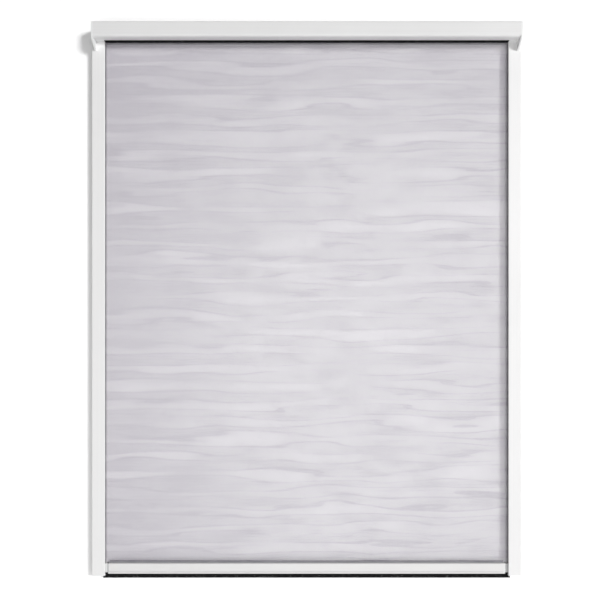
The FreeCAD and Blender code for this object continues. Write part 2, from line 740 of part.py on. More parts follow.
# Pull bar: a hollow extrusion with a clamp groove on top, a brush groove beneath and a grip lip
bar = new_body("pull_bar", depth="dims.mesh_y", up="dims.bar_lift")
bar_section = new_sketch(bar, "YZ", "section")
bar_front = "0 - dims.bar_depth / 2"
bar_back = "dims.bar_depth / 2"
bar_mouth = "dims.groove_mouth / 2"
bar_groove = "dims.groove_wide / 2"
groove_roof = "dims.lip_thick + dims.groove_deep"
clamp_half = "dims.clamp_wide / 2"
clamp_gap = "dims.clamp_mouth / 2"
clamp_roof = "dims.bar_height - dims.bar_wall"
clamp_floor = f"{clamp_roof} - dims.clamp_deep"
outline(bar_section, [
    (f"0 - {bar_mouth}", "0"),
    (f"{bar_front} - dims.bar_lip", "0"),
    (f"{bar_front} - dims.bar_lip", "dims.bar_lip_high"),
    (bar_front, "dims.bar_lip_high + dims.bar_lip / 2"),
    (bar_front, "dims.bar_height"),
    (f"0 - {clamp_gap}", "dims.bar_height"),
    (f"0 - {clamp_gap}", clamp_roof),
    (f"0 - {clamp_half}", clamp_roof),
    (f"0 - {clamp_half}", clamp_floor),
    (clamp_half, clamp_floor),
    (clamp_half, clamp_roof),
    (clamp_gap, clamp_roof),
    (clamp_gap, "dims.bar_height"),
    (bar_back, "dims.bar_height"),
    (bar_back, "0"),
    (bar_mouth, "0"),
    (bar_mouth, "dims.lip_thick"),
    (bar_groove, "dims.lip_thick"),
    (bar_groove, groove_roof),
    (f"0 - {bar_groove}", groove_roof),
    (f"0 - {bar_groove}", "dims.lip_thick"),
    (f"0 - {bar_mouth}", "dims.lip_thick"),
])
room_low = f"{groove_roof} + dims.bar_wall"
room_front = f"{bar_front} + dims.bar_wall"
room_back = f"{bar_back} - dims.bar_wall"
keep = f"{clamp_half} + dims.bar_wall"
outline(bar_section, [
    (room_front, room_low),
    (room_back, room_low),
    (room_back, clamp_roof),
    (keep, clamp_roof),
    (keep, f"{clamp_floor} - dims.bar_wall"),
    (f"0 - ({keep})", f"{clamp_floor} - dims.bar_wall"),
    (f"0 - ({keep})", clamp_roof),
    (room_front, clamp_roof),
])
extrude(bar, bar_section, "2 * dims.bar_half", both=True)
dress(bar, "Fillet", "dims.bar_round", [
    {"y": bar_front, "z": "dims.bar_height"},
    {"y": bar_back, "z": "dims.bar_height"},
])
dress(bar, "Fillet", "dims.lip_edge", [
    {"y": f"{bar_front} - dims.bar_lip", "z": "0"},
    {"y": f"{bar_front} - dims.bar_lip", "z": "dims.bar_lip_high"},
])

# Clamp strip: a bulb in the bar's top groove and a bead above it, split to take the mesh
clamp = new_body("clamp_strip", depth="dims.mesh_y", up="dims.bar_lift")
grip_sketch = new_sketch(clamp, "YZ", "grip")
bulb_half = f"{clamp_half} - dims.pile_gap"
neck_half = f"{clamp_gap} - dims.pile_gap"
bead_half = "dims.clamp_bead / 2"
bead_low = "dims.bar_height + dims.running_gap"
bead_top = "dims.bar_height + dims.clamp_rise"
slot_half = "dims.clamp_slot / 2"
slot_floor = "dims.mesh_low - dims.bar_lift - dims.slip_gap"
bulb_low = f"{clamp_floor} + dims.slip_gap"
bulb_top = f"{clamp_roof} - dims.slip_gap"
right_side = [
    (bulb_half, bulb_low),
    (bulb_half, bulb_top),
    (neck_half, bulb_top),
    (neck_half, bead_low),
    (bead_half, bead_low),
    (bead_half, bead_top),
    (slot_half, bead_top),
    (slot_half, slot_floor),
]
left_side = [(f"0 - ({across})", up) for across, up in reversed(right_side)]
outline(grip_sketch, right_side + left_side)
extrude(clamp, grip_sketch, "2 * dims.bar_half", both=True)

# Brush under the bar; its pile runs on past the bar's ends into the rails
sweep = new_body("bar_brush", depth="dims.mesh_y", up="dims.bar_lift")
strip_sketch = new_sketch(sweep, "YZ", "base")
base_low = "dims.lip_thick + dims.slip_gap / 2"
pile_tip = "0 - dims.bar_lift"
half_base = "dims.strip_base / 2"
half_pile = "dims.pile_thick / 2"
rectangle(strip_sketch, f"0 - {half_base}", half_base, base_low, f"{base_low} + dims.strip_thick")
extrude(sweep, strip_sketch, "2 * dims.bar_half", both=True)
short_pile = new_sketch(sweep, "YZ", "short_pile")
rectangle(short_pile, f"0 - {half_pile}", half_pile, pile_tip, f"{base_low} + dims.strip_thick / 2")
extrude(sweep, short_pile, "2 * dims.bar_half", both=True)
long_pile = new_sketch(sweep, "YZ", "long_pile")
rectangle(long_pile, f"0 - {half_pile}", half_pile, pile_tip, "0 - dims.pile_gap")
extrude(sweep, long_pile, "2 * dims.brush_half", both=True)


# End glider: a cap on the bar's end, a thin tongue through the rail's mouth and a head in its channel
def bar_glider(label, side):
    def out(expression):
        return f"{side} * ({expression})"

    backward = side < 0
    glider = new_body(label, along=out("dims.bar_half"), depth="dims.mesh_y", up="dims.bar_lift")
    cover = new_sketch(glider, "YZ", "cover")
    outline(cover, [
        (f"{bar_front} - dims.bar_lip", "0"),
        (bar_back, "0"),
        (bar_back, "dims.bar_height"),
        (bar_front, "dims.bar_height"),
        (bar_front, "dims.bar_lip_high + dims.bar_lip / 2"),
        (f"{bar_front} - dims.bar_lip", "dims.bar_lip_high"),
    ])
    extrude(glider, cover, "dims.glider_cap", back=backward)
    dress(glider, "Fillet", "dims.bar_round", [
        {"y": bar_front, "z": "dims.bar_height"},
        {"y": bar_back, "z": "dims.bar_height"},
    ])
    spigot = new_sketch(glider, "YZ", "spigot")
    room_top = f"{clamp_floor} - dims.bar_wall - dims.seat_gap"
    rectangle(
        spigot,
        f"{room_front} + dims.seat_gap", f"{room_back} - dims.seat_gap",
        f"{room_low} + dims.seat_gap", room_top,
    )
    extrude(glider, spigot, "dims.spigot_long", back=not backward)
    tongue = new_sketch(glider, "YZ", "tongue", offset=out("dims.glider_cap"))
    head_low = "dims.rail_low + dims.foot_stop + dims.slip_gap - dims.bar_lift"
    head_top = "dims.bar_height - dims.bar_lip"
    rectangle(tongue, f"0 - {half_pile}", half_pile, head_low, head_top)
    extrude(glider, tongue, "dims.tongue_reach + dims.fine_wall", back=backward)
    head = new_sketch(glider, "YZ", "head", offset=out("dims.glider_cap + dims.tongue_reach"))
    rectangle(head, "0 - dims.head_depth / 2", "dims.head_depth / 2", head_low, head_top)
    extrude(glider, head, "dims.head_wide", back=backward)
    corner = "dims.head_depth / 2"
    dress(glider, "Fillet", "dims.head_round", [
        {"y": across, "z": up}
        for across in (corner, f"0 - {corner}")
        for up in (head_low, head_top)
    ])


bar_glider("left_bar_glider", -1)
bar_glider("right_bar_glider", 1)

doc.recompute()
faults = [item.Name for item in doc.Objects if {"Invalid", "Error"} & set(item.State)]
for part in parts:
    if part.Shape.isNull() or not part.Shape.isValid():
        faults.append(part.Label)
if faults:
    raise RuntimeError(f"not sound: {faults}")

os.makedirs("parts", exist_ok=True)
for part in parts:
    part.Shape.exportStep(f"parts/{part.Label}.step")
print(f"{len(parts)} parts written")
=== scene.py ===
import math
import random

import bpy
import numpy as np
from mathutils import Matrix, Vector


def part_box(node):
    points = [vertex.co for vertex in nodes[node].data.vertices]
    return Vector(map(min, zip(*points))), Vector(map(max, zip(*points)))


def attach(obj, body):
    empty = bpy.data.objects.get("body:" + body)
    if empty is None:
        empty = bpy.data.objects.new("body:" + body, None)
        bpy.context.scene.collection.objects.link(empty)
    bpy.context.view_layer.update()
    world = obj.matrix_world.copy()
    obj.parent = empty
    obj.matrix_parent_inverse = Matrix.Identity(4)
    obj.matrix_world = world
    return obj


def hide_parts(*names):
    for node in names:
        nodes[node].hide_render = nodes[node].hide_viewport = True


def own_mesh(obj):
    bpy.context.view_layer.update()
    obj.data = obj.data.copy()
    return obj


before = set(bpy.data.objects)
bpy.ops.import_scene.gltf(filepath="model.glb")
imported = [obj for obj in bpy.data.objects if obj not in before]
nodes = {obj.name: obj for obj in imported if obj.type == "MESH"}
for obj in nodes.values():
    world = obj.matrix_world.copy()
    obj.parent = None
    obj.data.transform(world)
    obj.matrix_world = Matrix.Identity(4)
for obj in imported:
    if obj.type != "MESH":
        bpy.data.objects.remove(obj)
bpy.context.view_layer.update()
print("frame loaded with", len(nodes), "nodes")

# Camera: square on to the screen, a little left of its middle
camera = {
    "place": (-0.0295, -1.358, 0.6505),
    "lens": 35.13,
    "shift": 0.01,
}
lens = bpy.data.cameras.new("front camera")
lens.lens = camera["lens"]
lens.sensor_width = 36
lens.shift_x = camera["shift"]
lens.clip_start = 0.01
eye = bpy.data.objects.new("front camera", lens)
eye.location = camera["place"]
eye.rotation_euler = (math.radians(90), 0, 0)
bpy.context.scene.collection.objects.link(eye)
bpy.context.scene.camera = eye
bpy.context.scene.view_settings.view_transform = "Standard"
print("camera placed")


# Node helpers
def put(tree, kind, spot=(0, 0), sockets=None, **settings):
    node = tree.nodes.new(kind)
    node.location = (spot[0] * 200, spot[1] * -160)
    for key, value in settings.items():
        setattr(node, key, value)
    for key, value in (sockets or {}).items():
        node.inputs[key].default_value = value
    return node


def wire(tree, *pairs):
    for start, end in pairs:
        tree.links.new(start, end)


def startGroup(name, takes, gives):
    tree = bpy.data.node_groups.new(name, "ShaderNodeTree")
    for label, kind, value in takes:
        socket = tree.interface.new_socket(label, in_out="INPUT", socket_type="NodeSocket" + kind)
        socket.default_value = value
    for label, kind in gives:
        tree.interface.new_socket(label, in_out="OUTPUT", socket_type="NodeSocket" + kind)
    return tree, put(tree, "NodeGroupInput", (-6, 0)), put(tree, "NodeGroupOutput", (6, 0))


def startMaterial(name):
    material = bpy.data.materials.new(name)
    material.use_nodes = True
    tree = material.node_tree
    tree.nodes.clear()
    skin = put(tree, "ShaderNodeBsdfPrincipled", (3, 0))
    end = put(tree, "ShaderNodeOutputMaterial", (5, 0))
    wire(tree, (skin.outputs["BSDF"], end.inputs["Surface"]))
    return material, tree, skin


def useGroup(tree, group, spot, values):
    node = put(tree, "ShaderNodeGroup", spot)
    node.node_tree = group
    for key, value in values.items():
        node.inputs[key].default_value = value
    return node


# A light path node, and one for every ray that shows the background: camera, glossy and transmission
def seenRays(tree, spot):
    ray = put(tree, "ShaderNodeLightPath", spot)
    either = put(tree, "ShaderNodeMath", (spot[0] + 1, spot[1]), operation="MAXIMUM")
    anyRay = put(tree, "ShaderNodeMath", (spot[0] + 2, spot[1]), operation="MAXIMUM")
    wire(
        tree,
        (ray.outputs["Is Camera Ray"], either.inputs[0]),
        (ray.outputs["Is Glossy Ray"], either.inputs[1]),
        (either.outputs[0], anyRay.inputs[0]),
        (ray.outputs["Is Transmission Ray"], anyRay.inputs[1]),
    )
    return ray, anyRay.outputs[0]


# Slow drift of tone and a fine peel or grain, for paint, mouldings, metal and pile
def makeSkinGroup():
    tree, takes, gives = startGroup(
        "skin drift and peel",
        [
            ("Vector", "Vector", (0, 0, 0)),
            ("Light Tone", "Color", (0.9, 0.9, 0.9, 1)),
            ("Deep Tone", "Color", (0.8, 0.8, 0.8, 1)),
            ("Drift Scale", "Float", 3.0),
            ("Peel Scale", "Float", 900.0),
            ("Smooth", "Float", 0.35),
            ("Rough", "Float", 0.5),
        ],
        [("Color", "Color"), ("Roughness", "Float"), ("Height", "Float")],
    )
    drift = put(tree, "ShaderNodeTexNoise", (-4, 0), {"Detail": 3.0, "Roughness": 0.55})
    spread = put(tree, "ShaderNodeMapRange", (-2, 0), {"From Min": 0.3, "From Max": 0.7})
    tone = put(tree, "ShaderNodeMix", (0, 0), data_type="RGBA")
    peel = put(tree, "ShaderNodeTexNoise", (-4, 2), {"Detail": 2.0, "Roughness": 0.5})
    gloss = put(tree, "ShaderNodeMapRange", (0, 2), {"From Min": 0.25, "From Max": 0.75})
    wire(
        tree,
        (takes.outputs["Vector"], drift.inputs["Vector"]),
        (takes.outputs["Drift Scale"], drift.inputs["Scale"]),
        (drift.outputs["Fac"], spread.inputs["Value"]),
        (spread.outputs["Result"], tone.inputs["Factor"]),
        (takes.outputs["Light Tone"], tone.inputs["A"]),
        (takes.outputs["Deep Tone"], tone.inputs["B"]),
        (tone.outputs["Result"], gives.inputs["Color"]),
        (takes.outputs["Vector"], peel.inputs["Vector"]),
        (takes.outputs["Peel Scale"], peel.inputs["Scale"]),
        (peel.outputs["Fac"], gloss.inputs["Value"]),
        (takes.outputs["Smooth"], gloss.inputs["To Min"]),
        (takes.outputs["Rough"], gloss.inputs["To Max"]),
        (gloss.outputs["Result"], gives.inputs["Roughness"]),
        (peel.outputs["Fac"], gives.inputs["Height"]),
    )
    return tree


# Long streaks left by the die, drawn out along one axis
def makeDieGroup():
    tree, takes, gives = startGroup(
        "die lines",
        [
            ("Vector", "Vector", (0, 0, 0)),
            ("Color", "Color", (0.9, 0.9, 0.9, 1)),
            ("Across", "Vector", (600, 600, 2)),
            ("Depth", "Float", 0.03),
        ],
        [("Color", "Color"), ("Height", "Float")],
    )
    drawn = put(tree, "ShaderNodeMapping", (-4, 1))
    streak = put(tree, "ShaderNodeTexNoise", (-3, 1), {"Scale": 1.0, "Detail": 3.0, "Roughness": 0.6})
    shade = put(tree, "ShaderNodeMapRange", (-1, 1), {"From Min": 0.35, "From Max": 0.7, "To Min": 0.0})
    darker = put(tree, "ShaderNodeMix", (1, 0), {"B": (0, 0, 0, 1)}, data_type="RGBA")
    wire(
        tree,
        (takes.outputs["Vector"], drawn.inputs["Vector"]),
        (takes.outputs["Across"], drawn.inputs["Scale"]),
        (drawn.outputs["Vector"], streak.inputs["Vector"]),
        (streak.outputs["Fac"], shade.inputs["Value"]),
        (takes.outputs["Depth"], shade.inputs["To Max"]),
        (shade.outputs["Result"], darker.inputs["Factor"]),
        (takes.outputs["Color"], darker.inputs["A"]),
        (darker.outputs["Result"], gives.inputs["Color"]),
        (streak.outputs["Fac"], gives.inputs["Height"]),
    )
    return tree


# Painted light and shade on the stretched cloth: flat light loops with thin dark outlines, painted as the
# moire of the cloth and its own shadow; painted shade, darker away from a spot right of its middle; and a
# painted highlight along its right edge. The random dark patches are the cloth's own tone.
# Each pair says where a noise, the distance from the middle or the place across starts and stops to
# count, and To Max how much of the other yarn's tone it then gives.
clothToneAndPaintedLight = {
    "swayStretch": (4.0, 1.0, 36.0),
    "loopEdge": {"From Min": 0.26, "From Max": 0.4},
    "outline": {1: 0.25, 2: 0.04},
    "fadeStretch": (3.4, 1.0, 15.0),
    "loopFade": {"From Min": 0.36, "From Max": 0.6, "To Max": 0.42},
    "outlineFade": {"From Min": 0.36, "From Max": 0.5, "To Max": 0.62},
    "patchStretch": (9.0, 1.0, 42.0),
    "patchShare": {"From Min": 0.42, "From Max": 0.62, "To Max": 0.42},
    # The next entry and the one after it place painted shade: the cloth is darker the farther it lies from a
    # spot right of its middle. The last entry places a painted highlight along its right edge.
    "middle": {"Location": (-0.26, 0, -0.4), "Scale": (1.0, 0, 0.82)},
    "paintedShadeShare": {"From Min": 0.62, "From Max": 0.08, "To Max": 0.8},
    "paintedRimLightShare": {"From Min": 0.435, "From Max": 0.455, "To Max": 0.3},
}


def makeClothToneAndPaintedLightGroup():
    look = clothToneAndPaintedLight
    tree, takes, gives = startGroup(
        "cloth tone with painted light and shade",
        [
            ("Vector", "Vector", (0, 0, 0)),
            ("Plain Yarn", "Color", (0.6, 0.56, 0.64, 1)),
            ("Painted Light Tone", "Color", (0.8, 0.78, 0.84, 1)),
            ("Dark Yarn and Painted Shade", "Color", (0.3, 0.28, 0.33, 1)),
            ("Loops per Metre", "Float", 30.0),
            ("Sway", "Float", 2.5),
        ],
        [("Color", "Color")],
    )
    parts = put(tree, "ShaderNodeSeparateXYZ", (-6, 3))
    rise = put(tree, "ShaderNodeMath", (-5, 3), operation="MULTIPLY")
    swayMap = put(tree, "ShaderNodeMapping", (-7, 1), {"Scale": look["swayStretch"]})
    sway = put(tree, "ShaderNodeTexNoise", (-6, 1), {"Scale": 1.0, "Detail": 1.0, "Roughness": 0.4})
    swung = put(tree, "ShaderNodeMath", (-5, 1), operation="MULTIPLY")
    # Painted moire: light loops and thin dark outlines standing for the cloth beating with its own shadow.
    phase = put(tree, "ShaderNodeMath", (-4, 2), operation="ADD")
    wave = put(tree, "ShaderNodeMath", (-3, 2), {1: 0.5}, operation="PINGPONG")
    loop = put(tree, "ShaderNodeMapRange", (-2, 2), look["loopEdge"])
    outline = put(tree, "ShaderNodeMath", (-2, 4), look["outline"], operation="COMPARE")
    fadeMap = put(tree, "ShaderNodeMapping", (-6, -2), {"Scale": look["fadeStretch"]})
    fade = put(tree, "ShaderNodeTexNoise", (-5, -2), {"Scale": 1.0, "Detail": 3.0, "Roughness": 0.6})
    loopFade = put(tree, "ShaderNodeMapRange", (-4, -2), look["loopFade"])
    outlineFade = put(tree, "ShaderNodeMapRange", (-4, -3), look["outlineFade"])
    loopShare = put(tree, "ShaderNodeMath", (-1, 2), operation="MULTIPLY")
    outlineShare = put(tree, "ShaderNodeMath", (-1, 4), operation="MULTIPLY")
    patchMap = put(tree, "ShaderNodeMapping", (-6, -4), {"Scale": look["patchStretch"]})
    patch = put(tree, "ShaderNodeTexNoise", (-5, -4), {"Scale": 1.0, "Detail": 2.0, "Roughness": 0.6})
    patchShare = put(tree, "ShaderNodeMapRange", (-4, -5), look["patchShare"])
    # Painted shade: the cloth turns towards the dark tone the farther it lies from a spot right of its
    # middle.
    paintedLightCentreMap = put(tree, "ShaderNodeMapping", (-6, -6), look["middle"])
    middle = put(tree, "ShaderNodeTexGradient", (-5, -6), gradient_type="SPHERICAL")
    paintedShadeShare = put(tree, "ShaderNodeMapRange", (-4, -7), look["paintedShadeShare"])
    # Painted highlight: a lighter band along the cloth's right edge.
    paintedRimLightShare = put(tree, "ShaderNodeMapRange", (-4, -8), look["paintedRimLightShare"])
    paintedShadeMix = put(tree, "ShaderNodeMix", (0, -2), data_type="RGBA")
    paintedRimLightMix = put(tree, "ShaderNodeMix", (1, -1), data_type="RGBA")
    patched = put(tree, "ShaderNodeMix", (2, 0), data_type="RGBA")
    lit = put(tree, "ShaderNodeMix", (3, 1), data_type="RGBA")
    lined = put(tree, "ShaderNodeMix", (4, 2), data_type="RGBA")
    wire(
        tree,
        (takes.outputs["Vector"], parts.inputs[0]),
        (parts.outputs["Z"], rise.inputs[0]),
        (takes.outputs["Loops per Metre"], rise.inputs[1]),
        (takes.outputs["Vector"], swayMap.inputs["Vector"]),
        (swayMap.outputs["Vector"], sway.inputs["Vector"]),
        (sway.outputs["Fac"], swung.inputs[0]),
        (takes.outputs["Sway"], swung.inputs[1]),
        (rise.outputs[0], phase.inputs[0]),
        (swung.outputs[0], phase.inputs[1]),
        (phase.outputs[0], wave.inputs[0]),
        (wave.outputs[0], loop.inputs["Value"]),
        (wave.outputs[0], outline.inputs[0]),
        (takes.outputs["Vector"], fadeMap.inputs["Vector"]),
        (fadeMap.outputs["Vector"], fade.inputs["Vector"]),
        (fade.outputs["Fac"], loopFade.inputs["Value"]),
        (fade.outputs["Fac"], outlineFade.inputs["Value"]),
        (loop.outputs["Result"], loopShare.inputs[0]),
        (loopFade.outputs["Result"], loopShare.inputs[1]),
        (outline.outputs[0], outlineShare.inputs[0]),
        (outlineFade.outputs["Result"], outlineShare.inputs[1]),
        (takes.outputs["Vector"], patchMap.inputs["Vector"]),
        (patchMap.outputs["Vector"], patch.inputs["Vector"]),
        (patch.outputs["Fac"], patchShare.inputs["Value"]),
        (takes.outputs["Vector"], paintedLightCentreMap.inputs["Vector"]),
        (paintedLightCentreMap.outputs["Vector"], middle.inputs["Vector"]),
        (middle.outputs["Fac"], paintedShadeShare.inputs["Value"]),
        (parts.outputs["X"], paintedRimLightShare.inputs["Value"]),
        (paintedShadeShare.outputs["Result"], paintedShadeMix.inputs["Factor"]),
        (takes.outputs["Plain Yarn"], paintedShadeMix.inputs["A"]),
        (takes.outputs["Dark Yarn and Painted Shade"], paintedShadeMix.inputs["B"]),
        (paintedRimLightShare.outputs["Result"], paintedRimLightMix.inputs["Factor"]),
        (paintedShadeMix.outputs["Result"], paintedRimLightMix.inputs["A"]),
        (takes.outputs["Painted Light Tone"], paintedRimLightMix.inputs["B"]),
        (patchShare.outputs["Result"], patched.inputs["Factor"]),
        (paintedRimLightMix.outputs["Result"], patched.inputs["A"]),
        (takes.outputs["Dark Yarn and Painted Shade"], patched.inputs["B"]),
        (loopShare.outputs[0], lit.inputs["Factor"]),
        (patched.outputs["Result"], lit.inputs["A"]),
        (takes.outputs["Painted Light Tone"], lit.inputs["B"]),
        (outlineShare.outputs[0], lined.inputs["Factor"]),
        (lit.outputs["Result"], lined.inputs["A"]),
        (takes.outputs["Dark Yarn and Painted Shade"], lined.inputs["B"]),
        (lined.outputs["Result"], gives.inputs["Color"]),
    )
    return tree


skinGroup = makeSkinGroup()
dieGroup = makeDieGroup()
clothToneAndPaintedLightGroup = makeClothToneAndPaintedLightGroup()
print("shared node groups built")


# The skin group in a material, with that material's own values
def placeSkin(tree, spot, look):
    return useGroup(tree, skinGroup, spot, {
        "Light Tone": look["lightTone"],
        "Deep Tone": look["deepTone"],
        "Drift Scale": look["driftScale"],
        "Peel Scale": look["peelScale"],
        "Smooth": look["smooth"],
        "Rough": look["rough"],
    })


# White powder coat over an extrusion
def powderCoat(name, paint):
    material, tree, skin = startMaterial(name)
    where = put(tree, "ShaderNodeTexCoord", (-5, 0))
    sprayed = placeSkin(tree, (-3, 0), paint)
    drawn = useGroup(tree, dieGroup, (-1, 0), {"Across": paint["across"], "Depth": paint["dieShade"]})
    lines = put(tree, "ShaderNodeBump", (-1, 3), {"Strength": paint["dieBump"], "Distance": 0.00004})
    peel = put(tree, "ShaderNodeBump", (1, 3), {"Strength": paint["peelBump"], "Distance": 0.00005})
    wire(
        tree,
        (where.outputs["Object"], sprayed.inputs["Vector"]),
        (where.outputs["Object"], drawn.inputs["Vector"]),
        (sprayed.outputs["Color"], drawn.inputs["Color"]),
        (drawn.outputs["Color"], skin.inputs["Base Color"]),
        (sprayed.outputs["Roughness"], skin.inputs["Roughness"]),
        (drawn.outputs["Height"], lines.inputs["Height"]),
        (lines.outputs["Normal"], peel.inputs["Normal"]),
        (sprayed.outputs["Height"], peel.inputs["Height"]),
        (peel.outputs["Normal"], skin.inputs["Normal"]),
    )
    skin.inputs["Coat Weight"].default_value = paint["coat"]
    skin.inputs["Coat Roughness"].default_value = 0.3
    return material


coatPaint = {
    "lightTone": (0.89, 0.887, 0.885, 1),
    "deepTone": (0.862, 0.859, 0.857, 1),
    "driftScale": 4.0,
    "peelScale": 1100.0,
    "smooth": 0.36,
    "rough": 0.5,
    "across": (420, 420, 1.4),
    "dieShade": 0.025,
    "dieBump": 0.35,
    "peelBump": 0.3,
    "coat": 0.12,
}
railPaint = powderCoat("white powder coat upright", coatPaint)
# The housing's and the bar's copies of this coat are toned darker than the rails' coat.
levelPaint = powderCoat("white powder coat level", {
    **coatPaint,
    "lightTone": (0.825, 0.823, 0.821, 1),
    "deepTone": (0.797, 0.795, 0.793, 1),
    "across": (1.4, 420, 420),
})
barPaint = powderCoat("white powder coat bar", {
    **coatPaint,
    "lightTone": (0.815, 0.805, 0.803, 1),
    "deepTone": (0.785, 0.775, 0.773, 1),
    "across": (1.4, 420, 420),
})


# Fine-sparked mouldings: white end caps, feet and gliders, black plugs and grey vinyl strips
def mouldedPlastic(name, mould):
    material, tree, skin = startMaterial(name)
    where = put(tree, "ShaderNodeTexCoord", (-5, 0))
    face = placeSkin(tree, (-2, 0), mould)
    spark = put(tree, "ShaderNodeBump", (1, 2), {"Strength": mould["sparkBump"], "Distance": 0.00005})
    wire(
        tree,
        (where.outputs["Object"], face.inputs["Vector"]),
        (face.outputs["Color"], skin.inputs["Base Color"]),
        (face.outputs["Roughness"], skin.inputs["Roughness"]),
        (face.outputs["Height"], spark.inputs["Height"]),
        (spark.outputs["Normal"], skin.inputs["Normal"]),
    )
    return material


capPlastic = mouldedPlastic("white moulding", {
    "lightTone": (0.865, 0.868, 0.862, 1),
    "deepTone": (0.83, 0.838, 0.838, 1),
    "driftScale": 30.0,
    "peelScale": 2600.0,
    "smooth": 0.42,
    "rough": 0.6,
    "sparkBump": 0.35,
})
hubPlastic = mouldedPlastic("black moulding", {
    "lightTone": (0.05, 0.05, 0.052, 1),
    "deepTone": (0.03, 0.03, 0.032, 1),
    "driftScale": 60.0,
    "peelScale": 2200.0,
    "smooth": 0.38,
    "rough": 0.55,
    "sparkBump": 0.4,
})
softVinyl = mouldedPlastic("grey vinyl", {
    "lightTone": (0.3, 0.3, 0.32, 1),
    "deepTone": (0.22, 0.22, 0.24, 1),
    "driftScale": 45.0,
    "peelScale": 1500.0,
    "smooth": 0.5,
    "rough": 0.68,
    "sparkBump": 0.25,
})


# Bare metals: streaks in tone, gloss and height
def bareMetal(name, metal):
    material, tree, skin = startMaterial(name)
    where = put(tree, "ShaderNodeTexCoord", (-5, 0))
    face = placeSkin(tree, (-3, 0), metal)
    drawn = useGroup(tree, dieGroup, (-1, 0), {"Across": metal["across"], "Depth": metal["streakShade"]})
    lines = put(tree, "ShaderNodeBump", (1, 2), {"Strength": metal["streakBump"], "Distance": 0.00004})
    wire(
        tree,
        (where.outputs["Object"], face.inputs["Vector"]),
        (where.outputs["Object"], drawn.inputs["Vector"]),
        (face.outputs["Color"], drawn.inputs["Color"]),
        (drawn.outputs["Color"], skin.inputs["Base Color"]),
        (face.outputs["Roughness"], skin.inputs["Roughness"]),
        (drawn.outputs["Height"], lines.inputs["Height"]),
        (lines.outputs["Normal"], skin.inputs["Normal"]),
    )
    skin.inputs["Metallic"].default_value = 1.0
    return material


millTube = bareMetal("mill aluminium", {
    "lightTone": (0.78, 0.79, 0.8, 1),
    "deepTone": (0.66, 0.67, 0.69, 1),
    "driftScale": 12.0,
    "peelScale": 700.0,
    "smooth": 0.28,
    "rough": 0.45,
    "across": (2, 900, 900),
    "streakShade": 0.15,
    "streakBump": 0.4,
})
zincSteel = bareMetal("zinc plated steel", {
    "lightTone": (0.7, 0.71, 0.73, 1),
    "deepTone": (0.52, 0.54, 0.57, 1),
    "driftScale": 260.0,
    "peelScale": 1800.0,
    "smooth": 0.22,
    "rough": 0.42,
    "across": (900, 900, 60),
    "streakShade": 0.12,
    "streakBump": 0.3,
})


# Black pile and its woven backing
def pileMaterial(name, pile):
    material, tree, skin = startMaterial(name)
    where = put(tree, "ShaderNodeTexCoord", (-5, 0))
    face = placeSkin(tree, (-2, 0), pile)
    fibre = put(tree, "ShaderNodeBump", (1, 2), {"Strength": pile["bump"], "Distance": 0.00008})
    wire(
        tree,
        (where.outputs["Object"], face.inputs["Vector"]),
        (face.outputs["Color"], skin.inputs["Base Color"]),
        (face.outputs["Roughness"], skin.inputs["Roughness"]),
        (face.outputs["Height"], fibre.inputs["Height"]),
        (fibre.outputs["Normal"], skin.inputs["Normal"]),
    )
    skin.inputs["Specular IOR Level"].default_value = 0.25
    return material


blackFibre = pileMaterial("black pile fibre", {
    "lightTone": (0.014, 0.014, 0.015, 1),
    "deepTone": (0.005, 0.005, 0.006, 1),
    "driftScale": 900.0,
    "peelScale": 4000.0,
    "smooth": 0.65,
    "rough": 0.9,
    "bump": 0.5,
})
pileBacking = pileMaterial("black woven backing", {
    "lightTone": (0.05, 0.05, 0.052, 1),
    "deepTone": (0.02, 0.02, 0.022, 1),
    "driftScale": 500.0,
    "peelScale": 1600.0,
    "smooth": 0.55,
    "rough": 0.85,
    "bump": 0.8,
})


# Coated yarn of the insect mesh
def yarnMaterial(name, yarn):
    material, tree, skin = startMaterial(name)
    where = put(tree, "ShaderNodeTexCoord", (-5, 0))
    contours = useGroup(tree, clothToneAndPaintedLightGroup, (-2, 0), {
        "Plain Yarn": yarn["plainYarn"],
        "Painted Light Tone": yarn["paintedLightTone"],
        "Dark Yarn and Painted Shade": yarn["darkYarnAndShade"],
        "Loops per Metre": yarn["loopsPerMetre"],
        "Sway": yarn["sway"],
    })
    coating = put(tree, "ShaderNodeTexNoise", (-3, 2), {"Scale": yarn["coatScale"], "Detail": 2.0})
    gloss = put(tree, "ShaderNodeMapRange", (-1, 2), {"To Min": yarn["smooth"], "To Max": yarn["rough"]})
    lumps = put(tree, "ShaderNodeBump", (1, 3), {"Strength": yarn["bump"], "Distance": 0.00003})
    wire(
        tree,
        (where.outputs["Object"], contours.inputs["Vector"]),
        (contours.outputs["Color"], skin.inputs["Base Color"]),
        (where.outputs["Object"], coating.inputs["Vector"]),
        (coating.outputs["Fac"], gloss.inputs["Value"]),
        (gloss.outputs["Result"], skin.inputs["Roughness"]),
        (coating.outputs["Fac"], lumps.inputs["Height"]),
        (lumps.outputs["Normal"], skin.inputs["Normal"]),
    )
    return material


# The light tone carries painted moire and a painted highlight; the dark tone carries painted moire outlines,
# painted shade and the cloth's own random dark patches.
meshYarn = yarnMaterial("coated mesh yarn", {
    "plainYarn": (0.628, 0.603, 0.651, 1),
    "paintedLightTone": (0.9, 0.87, 0.92, 1),
    "darkYarnAndShade": (0.3, 0.26, 0.34, 1),
    "loopsPerMetre": 24.0,
    "sway": 1.5,
    "coatScale": 2400.0,
    "smooth": 0.4,
    "rough": 0.62,
    "bump": 0.4,
})
print("materials built")

